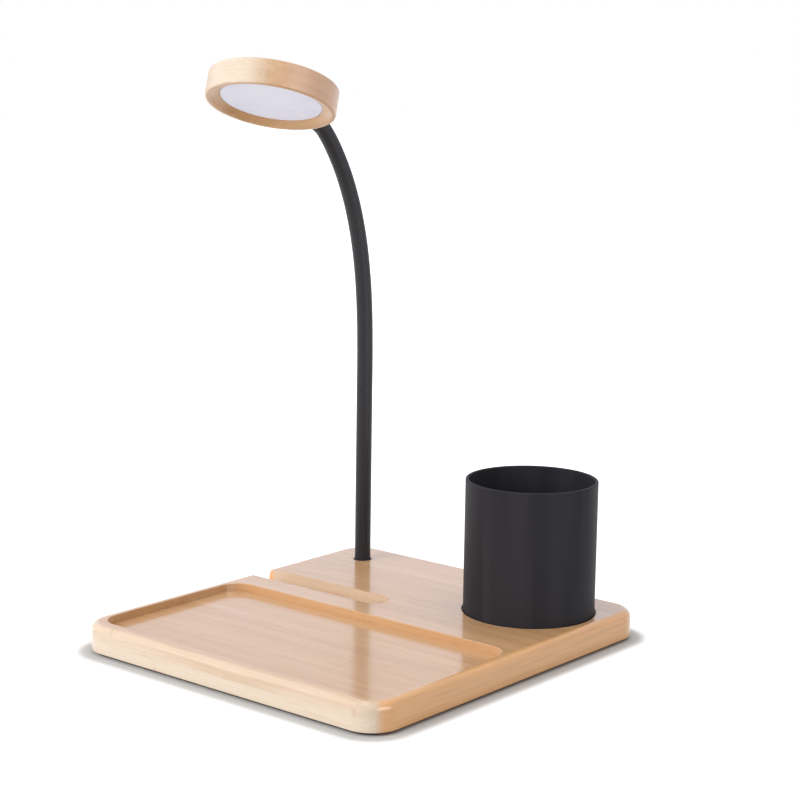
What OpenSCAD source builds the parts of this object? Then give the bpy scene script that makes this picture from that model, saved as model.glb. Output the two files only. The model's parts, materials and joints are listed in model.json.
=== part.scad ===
// Bamboo desk organizer with a gooseneck lamp, a phone pocket, a phone slot and a pen cup.
// Origin: middle of the base's footprint, at desk level. X runs right, Y back, Z up.

/* [Base] */
// Width of the base
base_w = 190; // [180:1:240]
// Depth of the base, front to back
base_d = 208; // [204:1:260]
// Height of the base's top above the desk
base_h = 15; // [14.6:0.2:20]
// Radius of the base's corners, seen from above
corner_r = 15; // [12:1:20]
// Rounding along the top edge
edge_round = 4; // [2:0.5:5]
// Rounding along the bottom edge
foot_round = 0.8; // [0.4:0.1:1.5]
// Chamfer along the rims of the pocket, slot and cup seat
rim_break = 0.6; // [0.2:0.1:1]

/* [Phone pocket] */
// Wood left at each side of the pocket
pocket_side = 5.5; // [4.5:0.5:12]
// Wood left in front of the pocket
pocket_front = 8; // [6:0.5:12]
// Size of the pocket from front to back
pocket_d = 96; // [84:1:98]
// Depth of the pocket
pocket_depth = 4; // [3:0.2:4.2]
// Radius of the pocket's corners
pocket_r = 11; // [8:1:20]

/* [Phone slot] */
// Wood between the pocket and the slot
slot_strip = 14.8; // [10:0.2:18]
// Width of the slot
slot_w = 15.6; // [12:0.2:17]
// Depth of the slot
slot_depth = 6; // [4:0.2:6.4]
// Length of the slot from the left edge
slot_len = 88; // [60:1:92]

/* [Underside] */
// Thickness of the soft mat under the base
mat_t = 1.2; // [0.8:0.1:1.6]
// How far the mat's edge lies inside the base's edge
mat_inset = 2.5; // [1.5:0.5:5]
// Thickness of the bottom cover
cover_t = 1.6; // [1.4:0.1:2]
// How far the cover's edge lies inside the base's edge
cover_inset = 7; // [6:0.5:9]
// Gap round the cover
cover_gap = 0.3; // [0.2:0.1:0.5]
// Wood left between the pocket's floor and the hollow under it
web_t = 2; // [1.5:0.1:2.2]
// Diameter of the cover screws
screw_d = 2.8; // [2.4:0.1:3]
// Length of the cover screws
screw_len = 5.8; // [5:0.2:6]

/* [Pen cup] */
// Outer radius of the cup
cup_r = 33; // [28:0.5:34]
// Height of the cup above the base
cup_h = 67; // [50:1:100]
// Wall of the cup
cup_wall = 1.6; // [1.2:0.1:2.5]
// Floor of the cup
cup_floor = 2; // [1.5:0.1:3]
// Depth of the round seat that the cup stands in
cup_seat_depth = 2.5; // [1.6:0.1:3]
// Gap round the cup in its seat
cup_gap = 0.6; // [0.4:0.1:1]
// Cup's axis from the right edge of the base
cup_from_right = 40; // [39:0.5:44]
// Cup's axis from the back edge of the base
cup_from_back = 42.8; // [40:0.2:46]
// Thickness of the felt under the cup
felt_t = 1; // [0.6:0.1:1.5]

/* [Neck] */
// Neck's foot from the left edge of the base
neck_from_left = 24; // [22:0.1:28]
// Neck's foot from the back edge of the base
neck_from_back = 24.4; // [22:0.2:28]
// Radius of the neck
neck_r = 4.3; // [3.6:0.1:4.6]
// Length of the neck between the base and the head
neck_len = 252; // [200:1:300]
// Number of places where the neck bends
neck_joints = 12; // [8:2:14]
// Length of the straight part above the base
neck_straight = 98; // [40:1:120]
// Lean that the bend works up to
neck_lean = 47; // [20:1:60]
// How suddenly the bend tightens towards the head
neck_power = 1.9; // [1:0.1:3]
// Lean of the last piece, which enters the head
head_lean = 55; // [50:1:60]
// Gap between the rounded end of one piece and the hollow end of the next
joint_gap = 0.3; // [0.25:0.05:0.4]
// Radius of the lamp wire
wire_r = 0.9; // [0.7:0.1:1]
// Radius of the hollow that the wire runs in
wire_way_r = 1.3; // [1.3:0.1:1.5]

/* [Lamp head] */
// Radius of the head
head_r = 33; // [30:0.5:40]
// Thickness of the head
head_t = 13.4; // [12.8:0.1:16]
// Tilt of the head, front edge up
head_tilt = 21; // [18:0.5:30]
// Turn of the head about its own middle line, underside to the right
head_roll = 7.5; // [-10:0.5:10]
// Rounding along the head's edges
head_round = 1.2; // [0.5:0.1:1.5]
// Width of the wooden rim round the diffuser
head_rim = 7; // [6.5:0.1:8]
// Width of the rim's flat lip, from which a slope runs in to the diffuser
head_lip = 2.5; // [2:0.1:3.5]
// Depth of the diffuser's outer face inside the rim
diffuser_sunk = 2.8; // [1:0.1:3]
// Thickness of the diffuser
diffuser_t = 2; // [1.5:0.1:2.4]
// Width of the step that the diffuser lies against
diffuser_step = 2; // [1.5:0.1:2.5]
// Room for the lights above the diffuser
light_room = 4.9; // [4.7:0.1:5.4]
// Thickness of the light board
light_board_t = 1.2; // [1:0.1:1.6]
// How deep the neck's end goes into the head
neck_insert = 5; // [4:0.2:5.2]
// Height above the head's underside at which the neck enters its edge
entry_level = 5.8; // [5.6:0.1:6.2]

/* [Electrics] */
// Outer radius of the charging coil
coil_r = 24; // [18:0.5:25]
// Inner radius of the charging coil
coil_hole_r = 10; // [8:0.5:14]
// Thickness of the coil
coil_t = 1.2; // [0.8:0.1:1.4]
// Thickness of the ferrite sheet
ferrite_t = 0.8; // [0.5:0.1:1]
// Width of the charger board
charger_w = 40; // [30:1:42]
// Depth of the charger board
charger_d = 34; // [26:1:40]
// Width of the power board
power_w = 50; // [40:1:54]
// Depth of the power board
power_d = 28; // [24:1:30]
// Thickness of the boards
board_t = 1.2; // [1:0.1:1.6]
// Height of the parts on the boards
parts_h = 3.2; // [2.8:0.1:3.4]

/* [Hidden] */
$fn = 96;
fit = 0.15;
over = 1;
function two(k) = k < 10 ? str("0", k) : str(k);
function link_name(k) = str("neck_link_", two(k));
function wire_name(k) = str("neck_wire_", two(k));
links = [for (k = [1 : neck_joints - 1]) k];

wood = "#dcbb92";
black = "#2b2a2c";
board_green = "#2f6b46";
copper = "#b87333";
steel = "#b9bcc0";
brass = "#c9a44c";

// Levels in the base
slab_h = base_h - mat_t;
cover_z = mat_t;
inner_z = cover_z + cover_t;
pocket_z = base_h - pocket_depth;
ceiling_z = pocket_z - web_t;
seat_z = base_h - cup_seat_depth;
board_z = ceiling_z - board_t;

// Places on the base
pocket_w = base_w - 2 * pocket_side;
pocket_y = -base_d / 2 + pocket_front + pocket_d / 2;
slot_y = pocket_y + pocket_d / 2 + slot_strip + slot_w / 2;
slot_end_x = -base_w / 2 + slot_len - slot_w / 2;
cup_x = base_w / 2 - cup_from_right;
cup_y = base_d / 2 - cup_from_back;
neck_x = -base_w / 2 + neck_from_left;
neck_y = base_d / 2 - neck_from_back;
cover_w = base_w - 2 * cover_inset;
cover_d = base_d - 2 * cover_inset;
cover_r = corner_r - cover_inset / 2;

// Hollows for the electrics
room = 2;
coil_gap = 8;
neck_gap = 16;
board_from_back = 7;
charger_x = coil_r + room + coil_gap + charger_w / 2;
charger_y = pocket_y;
power_x = neck_x + neck_gap + power_w / 2;
power_y = base_d / 2 - board_from_back - power_d / 2;
way_w = 8;
nut_room_r = 9;

// Screws that hold the power board
board_screw_r = 0.9;
board_screw_in = 2.8;
board_screw_side = 3;
board_screw_head_r = 1.7;
board_screw_head_t = 0.8;

// Parts on the boards' undersides
chip = [7, 7, 0.9];
small_chip = [4, 5, 0.9];
capacitor = [6, 8, 2.6];
inductor = [7, 7, 2.8];
resistor = [2.2, 4.5, 1.2];
plug_w = 6;
plug_d = 5;
plug_in = 0.5;
part_edge = 4;
part_gap = 1.5;

// USB socket in the back edge
usb_w = 9;
usb_h = 3.2;
usb_len = 10;
usb_wall = 0.4;
usb_z = board_z - usb_h / 2;
usb_y = base_d / 2 - 0.3;
usb_tongue_w = 6;
usb_tongue_t = 0.7;
usb_tongue_in = 1.2;
usb_back = 2;

// Touch sensor under the top
touch_r = 7;
touch_t = 0.5;
touch_x = power_x + 12;
touch_y = power_y;
touch_z = base_h - web_t;
touch_spring_r = 2.5;
touch_spring_bore = 1.6;

// Neck: piece 0 is fixed to the base, and the last one to the head
seg = neck_len / neck_joints;
wire_gap = 0.2;
ferrule_r = 3;
ferrule_up = 6;
nut_r = 5;
nut_t = 1.8;
washer_r = 6.5;
washer_t = 0.6;
collar_w = 0.7;
collar_h = 0.3;
lead_z = ceiling_z - washer_t - nut_t - wire_gap - wire_r;

// Head levels, from its underside
seat_level = diffuser_sunk + diffuser_t;
board_level = seat_level + light_room;
roof_level = board_level + light_board_t;
recess_r = head_r - head_rim;
light_r = recess_r - diffuser_step;
head_ferrule_r = 2;
head_ferrule_in = 4;
head_wire_out = 1.5;
reflector_t = 1.5;
reflector_gap = 6;

// Lights: size of one, and the two rings they stand in
led_w = 3.5;
led_d = 2.8;
led_t = 0.7;
led_inner_r = 8;
led_inner_count = 6;
led_outer_r = 17;
led_outer_count = 12;

// Lean of piece k of the neck from the vertical
function lean(k) =
    k >= neck_joints ? head_lean :
    neck_lean * pow(max(0, k * seg - neck_straight) / (neck_len - neck_straight), neck_power);

// Direction of a piece with the given lean
function along(a) = [0, -sin(a), cos(a)];

// Bending point k of the neck, counted from the base
function pivot(k) =
    k <= 1 ? [neck_x, neck_y, base_h + seg / 2] : pivot(k - 1) + seg * along(lean(k - 1));

// Point where the neck meets the head's edge
neck_tip = pivot(neck_joints) + seg / 2 * along(head_lean);

// ---- Shared shapes ----

// Rectangle with round corners
module round_rect(w, d, r) {
    square([w - 2 * r, d], center = true);
    square([w, d - 2 * r], center = true);
    for (sx = [-1, 1], sy = [-1, 1])
        translate([sx * (w / 2 - r), sy * (d / 2 - r)]) circle(r);
}

// Half of a slab's section: half width w, height h, rounded top and bottom edges
module edge_section(w, h, top, low) {
    square([w - top, h]);
    square([w - low, h - top]);
    translate([0, low]) square([w, h - top - low]);
    translate([w - top, h - top]) circle(top);
    translate([w - low, low]) circle(low);
}

// The whole section, both halves
module slab_section(w, h, top, low) {
    edge_section(w / 2, h, top, low);
    mirror([1, 0]) edge_section(w / 2, h, top, low);
}

// Slab with round corners and rounded edges, standing on z = 0
module round_slab(w, d, h, r, top, low) {
    rotate([90, 0, 90])
        linear_extrude(w - 2 * r, center = true) slab_section(d, h, top, low);
    rotate([90, 0, 0])
        linear_extrude(d - 2 * r, center = true) slab_section(w, h, top, low);
    for (sx = [-1, 1], sy = [-1, 1])
        translate([sx * (w / 2 - r), sy * (d / 2 - r), 0])
            rotate_extrude() edge_section(r, h, top, low);
}

// Section of a chamfer round a cut of width w, for extruding along the cut
module flare_section(w) {
    polygon([
        [-w / 2, -rim_break],
        [w / 2, -rim_break],
        [w / 2 + rim_break + over, over],
        [-w / 2 - rim_break - over, over]
    ]);
}

// The same chamfer round a hole of radius r
module flare_cone(r) {
    translate([0, 0, -rim_break])
        cylinder(r1 = r, r2 = r + rim_break + over, h = rim_break + over);
}

// Tool for a pocket with round corners and a chamfered rim, cut down from z = 0
module pocket_tool(w, d, r, depth) {
    translate([0, 0, -depth]) linear_extrude(depth + over) round_rect(w, d, r);
    rotate([90, 0, 90]) linear_extrude(w - 2 * r, center = true) flare_section(d);
    rotate([90, 0, 0]) linear_extrude(d - 2 * r, center = true) flare_section(w);
    for (sx = [-1, 1], sy = [-1, 1])
        translate([sx * (w / 2 - r), sy * (d / 2 - r), 0]) flare_cone(r);
}

// Tool for a slot that runs out at its left end and has a round right end at x = 0
module slot_tool(len, w, depth) {
    translate([-len, -w / 2, -depth]) cube([len, w, depth + over]);
    translate([0, 0, -depth]) cylinder(r = w / 2, h = depth + over);
    translate([-len / 2, 0, 0])
        rotate([90, 0, 90]) linear_extrude(len, center = true) flare_section(w);
    flare_cone(w / 2);
}

// Tool for a round seat with a chamfered rim
module seat_tool(r, depth) {
    translate([0, 0, -depth]) cylinder(r = r, h = depth + over);
    flare_cone(r);
}

// Tube round the z axis
module tube(outer, inner, h) {
    difference() {
        cylinder(r = outer, h = h);
        translate([0, 0, -over]) cylinder(r = inner, h = h + 2 * over);
    }
}

// Wire through points that lie along the axes, with a ball at each turn
module wire_path(points, r) {
    for (i = [0 : len(points) - 2]) {
        a = points[i];
        d = points[i + 1] - a;
        length = norm(d);
        translate(a) rotate([0, acos(d[2] / length), atan2(d[1], d[0])]) cylinder(r = r, h = length);
        if (i > 0) translate(a) sphere(r);
    }
}

// Places of the cover's screws
module at_cover_screws() {
    for (sx = [-1, 1], sy = [-1, 0, 1])
        translate([sx * (cover_w / 2 - 5.5), sy * (cover_d / 2 - 6.5), cover_z]) children();
}

// Places of the power board's screws
module at_board_screws() {
    for (s = [-1, 1])
        translate([power_x + s * (power_w / 2 - board_screw_side), power_y - power_d / 2 + board_screw_side, 0])
            children();
}

// Places of one piece of the neck, upright along its own z
module at_piece(k) {
    translate(pivot(k)) rotate([lean(k), 0, 0]) children();
}

// The head's own place: its underside's centre, with z through its thickness
module in_head() {
    translate(neck_tip)
        rotate([-head_tilt, 0, 0])
            rotate([0, -head_roll, 0])
                translate([0, -head_r, -entry_level]) children();
}

// ---- Base ----

// Plan of the hollow that holds the electrics
module hollow_plan() {
    translate([0, pocket_y]) circle(coil_r + room);
    translate([charger_x, charger_y]) round_rect(charger_w + room, charger_d + room, 3);
    translate([power_x, power_y]) round_rect(power_w + room, power_d + room, 3);
    translate([neck_x, neck_y]) circle(nut_room_r);
    // Way from the coil to the charger board
    translate([charger_x / 2, pocket_y]) square([charger_x, way_w], center = true);
    // Way from the neck to the power board
    translate([(neck_x + power_x) / 2, neck_y]) square([power_x - neck_x, way_w], center = true);
    // Ways from the charger board back and then left to the power board
    translate([charger_x - way_w / 2, charger_y]) square([way_w, power_y - charger_y + way_w / 2]);
    translate([power_x, power_y - way_w / 2]) square([charger_x - power_x, way_w]);
}

module bamboo_base() {
    color(wood) difference() {
        translate([0, 0, mat_t]) round_slab(base_w, base_d, slab_h, corner_r, edge_round, foot_round);
        translate([0, pocket_y, base_h]) pocket_tool(pocket_w, pocket_d, pocket_r, pocket_depth);
        translate([slot_end_x, slot_y, base_h]) slot_tool(slot_len, slot_w, slot_depth);
        translate([cup_x, cup_y, base_h]) seat_tool(cup_r + cup_gap, cup_seat_depth);
        // Seat for the bottom cover and the hollow above it
        translate([0, 0, cover_z - over])
            linear_extrude(cover_t + over)
                round_rect(cover_w + 2 * cover_gap, cover_d + 2 * cover_gap, cover_r + cover_gap);
        translate([0, 0, inner_z - over]) linear_extrude(ceiling_z - inner_z + over) hollow_plan();
        // Holes for the neck's ferrule, the socket, the touch sensor and the screws
        translate([neck_x, neck_y, 0]) cylinder(r = ferrule_r + fit, h = base_h + over);
        translate([power_x, power_y, usb_z]) usb_shape(fit, base_d / 2 - power_y + over);
        translate([touch_x, touch_y, inner_z]) cylinder(r = touch_r + fit, h = touch_z - inner_z);
        at_cover_screws() cylinder(d = screw_d + 2 * fit, h = screw_len + fit);
        at_board_screws() translate([0, 0, board_z])
            cylinder(r = board_screw_r + fit, h = board_t + board_screw_in + 0.2);
    }
}

module base_mat() {
    color(black) linear_extrude(mat_t)
        round_rect(base_w - 2 * mat_inset, base_d - 2 * mat_inset, corner_r - mat_inset);
}

module bottom_cover() {
    color(black) difference() {
        translate([0, 0, cover_z]) linear_extrude(cover_t) round_rect(cover_w, cover_d, cover_r);
        at_cover_screws() {
            translate([0, 0, -over]) cylinder(d = screw_d + 2 * fit, h = cover_t + 2 * over);
            cylinder(r1 = screw_d + fit, r2 = screw_d / 2 + fit, h = screw_d / 2);
        }
    }
}

module cover_screws() {
    color(steel) at_cover_screws() {
        cylinder(r1 = screw_d, r2 = screw_d / 2, h = screw_d / 2);
        cylinder(d = screw_d, h = screw_len);
    }
}

// ---- Wireless charger ----

module charging_coil() {
    color(copper) translate([0, pocket_y, ceiling_z - coil_t]) tube(coil_r, coil_hole_r, coil_t);
}

module ferrite_sheet() {
    color("#4a4a4d")
        translate([0, pocket_y, ceiling_z - coil_t - ferrite_t]) cylinder(r = coil_r + 1, h = ferrite_t);
}

// The two ends of the coil's wire, which run to the charger board
module coil_leads() {
    color(copper) for (s = [-1, 1])
        translate([coil_r + fit, pocket_y + s * 1.5, ceiling_z - coil_t / 2])
            rotate([0, 90, 0]) cylinder(r = 0.5, h = charger_x - charger_w / 2 - coil_r - 2 * fit);
}

module charger_board() {
    color(board_green) translate([charger_x, charger_y, board_z + board_t / 2])
        cube([charger_w, charger_d, board_t], center = true);
}

// Place of a board's front left corner, on its underside
module board_corner(x, y, w, d) {
    translate([x - w / 2, y - d / 2, board_z]) children();
}

// A part on a board's underside, placed by its own front left corner
module board_part(x, y, size) {
    translate([x, y, -size[2]]) cube(size);
}

module charger_parts() {
    color("#3a3a3e") board_corner(charger_x, charger_y, charger_w, charger_d) {
        chip_y = charger_d - part_edge - chip[1];
        board_part(part_edge, chip_y, chip);
        board_part(part_edge + chip[0] + part_gap, chip_y, small_chip);
        board_part(part_edge, part_edge, capacitor);
        for (i = [0 : 3])
            board_part(part_edge + capacitor[0] + part_gap + i * (resistor[0] + part_gap), part_edge, resistor);
        // Plug for the lead from the power board
        board_part((charger_w - plug_w) / 2, charger_d - plug_in - plug_d, [plug_w, plug_d, parts_h]);
    }
}

// ---- Power board, socket and touch sensor ----

module power_board() {
    color(board_green) difference() {
        translate([power_x, power_y, board_z + board_t / 2])
            cube([power_w, power_d, board_t], center = true);
        at_board_screws() translate([0, 0, board_z - over])
            cylinder(r = board_screw_r + 0.1 + fit, h = board_t + 2 * over);
    }
}

module power_parts() {
    color("#3a3a3e") board_corner(power_x, power_y, power_w, power_d) {
        start = plug_in + plug_d + part_gap;
        chip_y = part_edge + resistor[1] + part_gap;
        board_part(start, chip_y, chip);
        board_part(start + chip[0] + part_gap, chip_y, inductor);
        for (i = [0 : 2]) board_part(start + i * (resistor[0] + part_gap), part_edge, resistor);
        // Plugs for the lamp's lead and for the charger's lead
        board_part(plug_in, neck_y - power_y + (power_d - plug_w) / 2, [plug_d, plug_w, parts_h]);
        board_part(power_w - plug_in - plug_d, (power_d - plug_w) / 2, [plug_d, plug_w, parts_h]);
    }
}

module board_screws() {
    color(steel) at_board_screws() {
        translate([0, 0, board_z]) cylinder(r = board_screw_r, h = board_t + board_screw_in);
        translate([0, 0, board_z - board_screw_head_t])
            cylinder(r = board_screw_head_r, h = board_screw_head_t);
    }
}

// Outline of the socket, grown by g, extruded along Y
module usb_shape(g, length) {
    rotate([-90, 0, 0]) linear_extrude(length) {
        square([usb_w - usb_h, usb_h + 2 * g], center = true);
        for (s = [-1, 1]) translate([s * (usb_w - usb_h) / 2, 0]) circle(usb_h / 2 + g);
    }
}

module usb_socket() {
    color(steel) difference() {
        translate([power_x, usb_y - usb_len, usb_z]) usb_shape(0, usb_len);
        difference() {
            translate([power_x, usb_y - usb_len + usb_back, usb_z]) usb_shape(-usb_wall, usb_len);
            translate([power_x - usb_tongue_w / 2, usb_y - usb_len, usb_z - usb_tongue_t / 2])
                cube([usb_tongue_w, usb_len - usb_tongue_in, usb_tongue_t]);
        }
    }
}

module touch_disc() {
    color(copper) translate([touch_x, touch_y, touch_z - touch_t]) cylinder(r = touch_r, h = touch_t);
}

// Sprung contact between the power board and the touch disc
module touch_spring() {
    color(brass) translate([touch_x, touch_y, ceiling_z])
        tube(touch_spring_r, touch_spring_bore, touch_z - touch_t - ceiling_z);
}

// ---- Leads inside the base ----

// From the power board to the charger board
module power_lead() {
    plug_x = power_x + power_w / 2 - plug_in;
    plug_y = charger_y + charger_d / 2 - plug_in;
    color(black) wire_path([
        [plug_x, power_y, lead_z],
        [charger_x, power_y, lead_z],
        [charger_x, plug_y, lead_z]
    ], wire_r);
}

// From the power board under the neck and up into its first piece
module lamp_lead() {
    color(black) wire_path([
        [power_x - power_w / 2 + plug_in, neck_y, lead_z],
        [neck_x, neck_y, lead_z],
        [neck_x, neck_y, base_h + seg / 2 + neck_r - wire_gap]
    ], wire_r);
}

// ---- Neck ----

// Trim ring round the neck's foot
module neck_collar() {
    color(black) translate([neck_x, neck_y, base_h])
        edge_ring(neck_r + collar_w, neck_r + fit, collar_h, collar_h / 2);
}

// Ring with a rounded upper outer edge
module edge_ring(outer, inner, h, edge) {
    rotate_extrude() {
        translate([inner, 0]) square([outer - edge - inner, h]);
        translate([inner, 0]) square([outer - inner, h - edge]);
        translate([outer - edge, h - edge]) circle(edge, $fn = 24);
    }
}

// Threaded tube that is crimped into the neck's foot and goes through the wood
module neck_ferrule() {
    low = lead_z + wire_r + wire_gap;
    color(brass) translate([neck_x, neck_y, low]) tube(ferrule_r, wire_way_r, base_h + ferrule_up - low);
}

module neck_washer() {
    color(steel) translate([neck_x, neck_y, ceiling_z - washer_t]) tube(washer_r, ferrule_r + fit, washer_t);
}

module neck_nut() {
    color(brass) translate([neck_x, neck_y, ceiling_z - washer_t - nut_t]) difference() {
        cylinder(r = nut_r, h = nut_t, $fn = 6);
        translate([0, 0, -over]) cylinder(r = ferrule_r + 0.05, h = nut_t + 2 * over);
    }
}

// The neck's foot, fixed to the base
module neck_root() {
    color(black) translate([neck_x, neck_y, base_h]) difference() {
        union() {
            cylinder(r = neck_r, h = seg / 2);
            translate([0, 0, seg / 2]) sphere(neck_r);
        }
        translate([0, 0, -over]) cylinder(r = wire_way_r, h = seg + 2 * over);
        translate([0, 0, -over]) cylinder(r = ferrule_r + 0.05, h = ferrule_up + over);
    }
}

// Piece k: hollow end below, round end above
module neck_link(k) {
    color(black) at_piece(k) difference() {
        union() {
            cylinder(r = neck_r, h = seg);
            translate([0, 0, seg]) sphere(neck_r);
        }
        sphere(neck_r + joint_gap);
        cylinder(r = wire_way_r, h = seg + neck_r + over);
    }
}

// The stretch of lamp wire inside piece k
module neck_wire(k) {
    color("#7a2f2f") at_piece(k)
        translate([0, 0, neck_r + joint_gap + wire_gap])
            cylinder(r = wire_r, h = seg - joint_gap - 2 * wire_gap);
}

// The last piece, which is fixed in the head
module neck_end() {
    reach = seg / 2 + neck_insert;
    color(black) at_piece(neck_joints) difference() {
        cylinder(r = neck_r, h = reach);
        sphere(neck_r + joint_gap);
        cylinder(r = wire_way_r, h = reach + over);
        translate([0, 0, reach - head_ferrule_in])
            cylinder(r = head_ferrule_r + 0.05, h = head_ferrule_in + over);
    }
}

// ---- Lamp head ----

// Thin tube between the neck's end and the room for the lights
module head_ferrule() {
    start = seg / 2 + neck_insert - head_ferrule_in;
    finish = seg / 2 + head_r - light_r - fit;
    color(brass) at_piece(neck_joints)
        translate([0, 0, start]) tube(head_ferrule_r, wire_way_r, finish - start);
}

module head_wire() {
    start = neck_r + joint_gap + wire_gap;
    finish = seg / 2 + head_r - light_r + head_wire_out;
    color("#7a2f2f") at_piece(neck_joints)
        translate([0, 0, start]) cylinder(r = wire_r, h = finish - start);
}

// Tool for the slope from the rim's lip in to the diffuser, run on past the underside
module recess_slope() {
    run = (head_rim - head_lip) / diffuser_sunk;
    translate([0, 0, -over])
        cylinder(r1 = head_r - head_lip + over * run, r2 = recess_r, h = diffuser_sunk + over);
}

module head_shell() {
    color(wood) difference() {
        in_head() difference() {
            rotate_extrude() edge_section(head_r, head_t, head_round, head_round);
            recess_slope();
            cylinder(r = recess_r, h = seat_level);
            cylinder(r = light_r, h = roof_level);
        }
        at_piece(neck_joints) {
            cylinder(r = neck_r + fit, h = seg / 2 + neck_insert);
            cylinder(r = head_ferrule_r + fit, h = seg / 2 + head_r - light_r + head_wire_out);
        }
    }
}

module light_board() {
    color("#e9e9e6") in_head() translate([0, 0, board_level]) cylinder(r = light_r - fit, h = light_board_t);
}

// Lights in two rings on the board's underside
module leds() {
    color("#f3e7a8") in_head() {
        led_ring(led_inner_r, led_inner_count);
        led_ring(led_outer_r, led_outer_count);
    }
}

module led_ring(r, count) {
    for (i = [0 : count - 1]) rotate([0, 0, (i + 0.5) * 360 / count])
        translate([r - led_w / 2, -led_d / 2, board_level - led_t]) cube([led_w, led_d, led_t]);
}

// White ring between the diffuser and the board, open at the back for the wire
module reflector_ring() {
    color("#f4f4f2") in_head() difference() {
        translate([0, 0, seat_level]) tube(light_r - fit, light_r - reflector_t, light_room);
        translate([-reflector_gap / 2, 0, seat_level - over])
            cube([reflector_gap, light_r + over, light_room + 2 * over]);
    }
}

module diffuser() {
    color("#e6e2ee") in_head()
        translate([0, 0, diffuser_sunk]) cylinder(r = recess_r - fit, h = diffuser_t);
}

// ---- Pen cup ----

module pen_cup() {
    wall_z = seat_z + felt_t - 0.6;
    top = base_h + cup_h;
    color(black) translate([cup_x, cup_y, 0]) rotate_extrude() {
        translate([0, seat_z + felt_t]) square([cup_r - cup_wall / 2, cup_floor]);
        translate([cup_r - cup_wall, wall_z]) square([cup_wall, top - wall_z - cup_wall / 2]);
        translate([cup_r - cup_wall / 2, top - cup_wall / 2]) circle(cup_wall / 2);
    }
}

module cup_felt() {
    color("#1d1d1f") translate([cup_x, cup_y, seat_z]) cylinder(r = cup_r - cup_wall - 0.4, h = felt_t);
}

bamboo_base();
bottom_cover();
cover_screws();
base_mat();
charging_coil();
ferrite_sheet();
coil_leads();
charger_board();
charger_parts();
power_board();
power_parts();
power_lead();
board_screws();
usb_socket();
touch_disc();
touch_spring();
lamp_lead();
neck_collar();
neck_ferrule();
neck_washer();
neck_nut();
neck_root();
for (k = links) neck_link(k);
for (k = links) neck_wire(k);
neck_end();
head_ferrule();
head_wire();
head_shell();
light_board();
leds();
reflector_ring();
diffuser();
pen_cup();
cup_felt();
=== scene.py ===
"""Looks of a bamboo desk organizer with a bendable lamp, a shallow pocket, a slot and a round cup.

Every length in the tables below is in millimetres, as in the part's source; mm() turns it into metres.
"""

import json
import math

import bmesh
import bpy
from mathutils import Matrix, Vector


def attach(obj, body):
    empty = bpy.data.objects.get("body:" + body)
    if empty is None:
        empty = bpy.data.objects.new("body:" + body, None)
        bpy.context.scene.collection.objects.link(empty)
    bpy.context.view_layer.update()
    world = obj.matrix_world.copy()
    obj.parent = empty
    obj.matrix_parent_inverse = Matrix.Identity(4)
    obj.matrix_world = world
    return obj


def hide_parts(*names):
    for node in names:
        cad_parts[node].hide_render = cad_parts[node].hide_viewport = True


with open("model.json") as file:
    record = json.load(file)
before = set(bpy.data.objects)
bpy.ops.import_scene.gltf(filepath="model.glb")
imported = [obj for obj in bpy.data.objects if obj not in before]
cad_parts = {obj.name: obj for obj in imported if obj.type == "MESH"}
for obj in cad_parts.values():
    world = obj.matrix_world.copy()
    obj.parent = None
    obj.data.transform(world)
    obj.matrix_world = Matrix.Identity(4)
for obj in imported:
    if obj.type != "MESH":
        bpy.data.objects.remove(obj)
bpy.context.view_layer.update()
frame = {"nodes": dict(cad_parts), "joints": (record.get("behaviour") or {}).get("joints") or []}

# ---- Sizes, the same as in the part's source ----

BASE_W, BASE_D, BASE_TOP = 190, 208, 15
BASE_LOW = 1.2
CORNER_R, EDGE_ROUND, FOOT_ROUND, RIM_ROUND = 15, 4, 0.8, 0.9
POCKET_W, POCKET_D, POCKET_R, POCKET_DEPTH, POCKET_Y = 179, 96, 11, 4, -48
SLOT_W, SLOT_DEPTH, SLOT_LEN, SLOT_Y = 15.6, 6, 88, 22.6
CUP_X, CUP_Y, CUP_R, CUP_TOP, CUP_WALL = 55, 61.2, 33, 82, 1.6
CUP_FOOT, CUP_FLOOR, SEAT_R, SEAT_DEPTH = 12.9, 15.5, 33.6, 2.5
NECK_X, NECK_Y, NECK_R, NECK_BORE = -71, 79.6, 4.3, 1.3
COVER_W, COVER_D, COVER_R, COVER_TOP, CEILING = 176.6, 194.6, 11.8, 2.8, 9
COIL_ROOM_R, CHARGER_X, CHARGER_W, CHARGER_D = 26, 54, 42, 36
POWER_X, POWER_Y, POWER_W, POWER_D, WAY_W = -30, 83, 52, 30, 8
SOCKET_W, SOCKET_H, SOCKET_Z = 9.3, 3.5, 6.2
SCREW_X, SCREW_Y, SCREW_R = 82.5, 90.5, 1.55
TOUCH_X, TOUCH_R, TOUCH_TOP = -18, 7.15, 13
HEAD_R, HEAD_T, HEAD_ROUND, HEAD_RIM, HEAD_LIP = 33, 13.4, 1.2, 7, 2.5
HEAD_TILT, HEAD_ROLL, HEAD_LEAN, NECK_INSERT, ENTRY_LEVEL = 21, 7.5, 55, 5, 5.8
DIFFUSER_SUNK, DIFFUSER_T, LIGHT_R, ROOF = 2.8, 2, 24, 10.9
COLLAR_R, COLLAR_H = 5, 0.3
FIT = 0.15
ROOM_CORNER, NUT_ROOM_R, NECK_HOLE_R, SCREW_TOP, WIRE_HOLE_R = 3, 9, 3.15, 7.15, 2.15

# ---- Sizes and looks of the scene alone ----

FLOOR_GAP = 0.1
SOCKET_GAP = 0.06
SLOT_FLOOR_CLEAR = 10
NECK_SIDES, BALL_SEGMENTS, BALL_RINGS = 48, 44, 22
TURN_LOW, TURN_HIGH = 0.68, 0.98
AMBIENT = 0.6
COOL_REFLECTION = (0.97, 1.03, 1.19, 1)


def mm(*lengths):
    """Millimetres as metres: one number, or a vector of several."""
    scaled = [value / 1000 for value in lengths]
    return scaled[0] if len(scaled) == 1 else Vector(scaled)


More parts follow.
